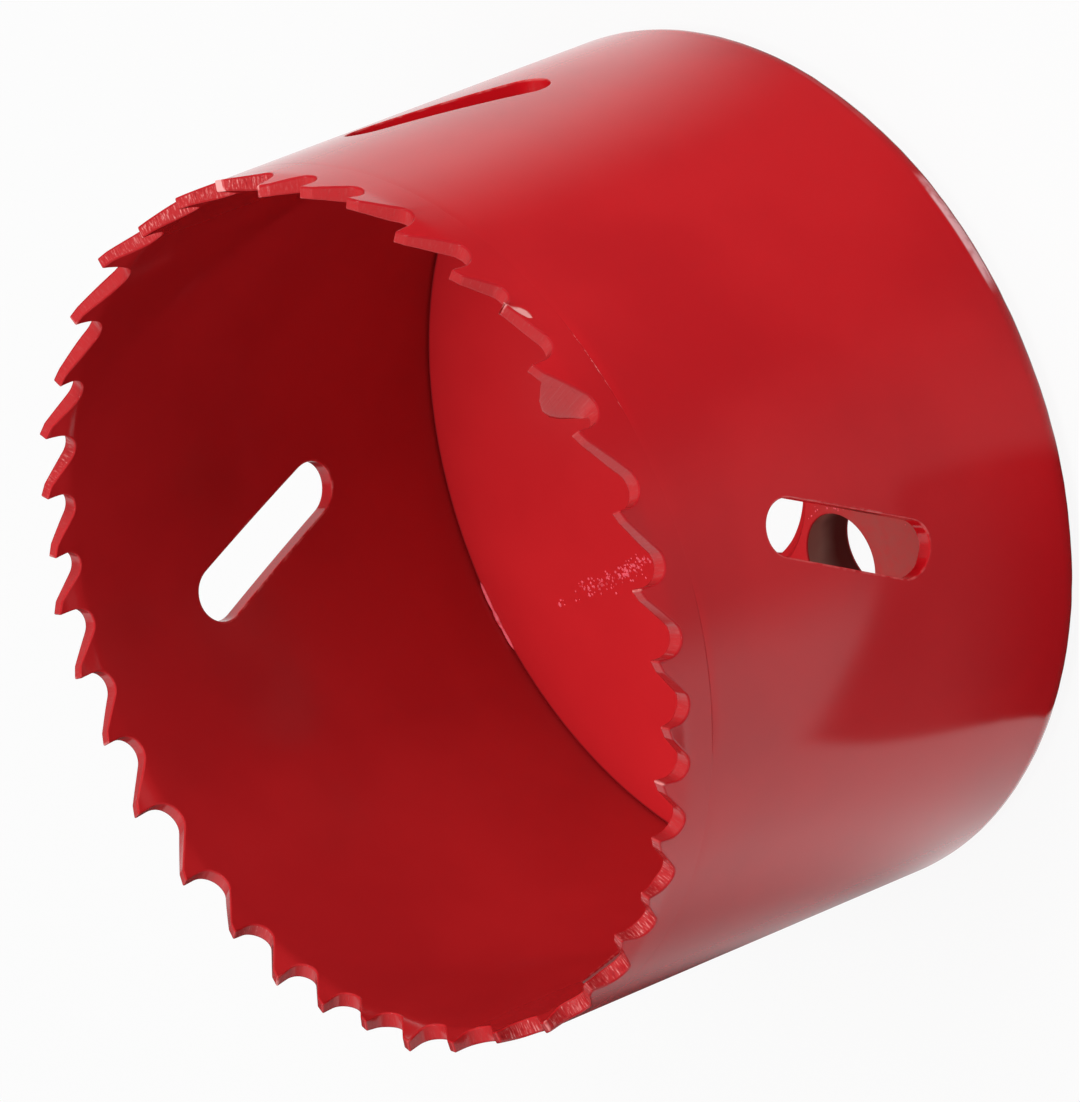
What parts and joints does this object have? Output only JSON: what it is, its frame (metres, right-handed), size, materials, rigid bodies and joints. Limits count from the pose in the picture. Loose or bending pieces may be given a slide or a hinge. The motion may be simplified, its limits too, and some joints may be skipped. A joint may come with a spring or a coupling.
{
  "type": "hole saw",
  "caption": "Cup-shaped hole saw with a ring of varied-pitch teeth, slanted slots in its wall, and a back plate with a threaded arbor hole and drive pin holes.",
  "frame": {"origin": "centre of the back plate's rear face", "axes": "+Z along the saw's axis, from the back plate towards the tooth tips; -Y through the middle of one slot"},
  "size_m": [0.0635, 0.0637, 0.041],
  "materials": {
    "enamel": "glossy red enamel over steel",
    "tooth_enamel": "thin glossy red enamel over ground steel"
  },
  "bodies": {
    "root": {"toothed_edge": "tooth_enamel", "slotted_band": "enamel", "back_plate": "enamel", "rear_weld": "enamel"}
  },
  "joints": []
}
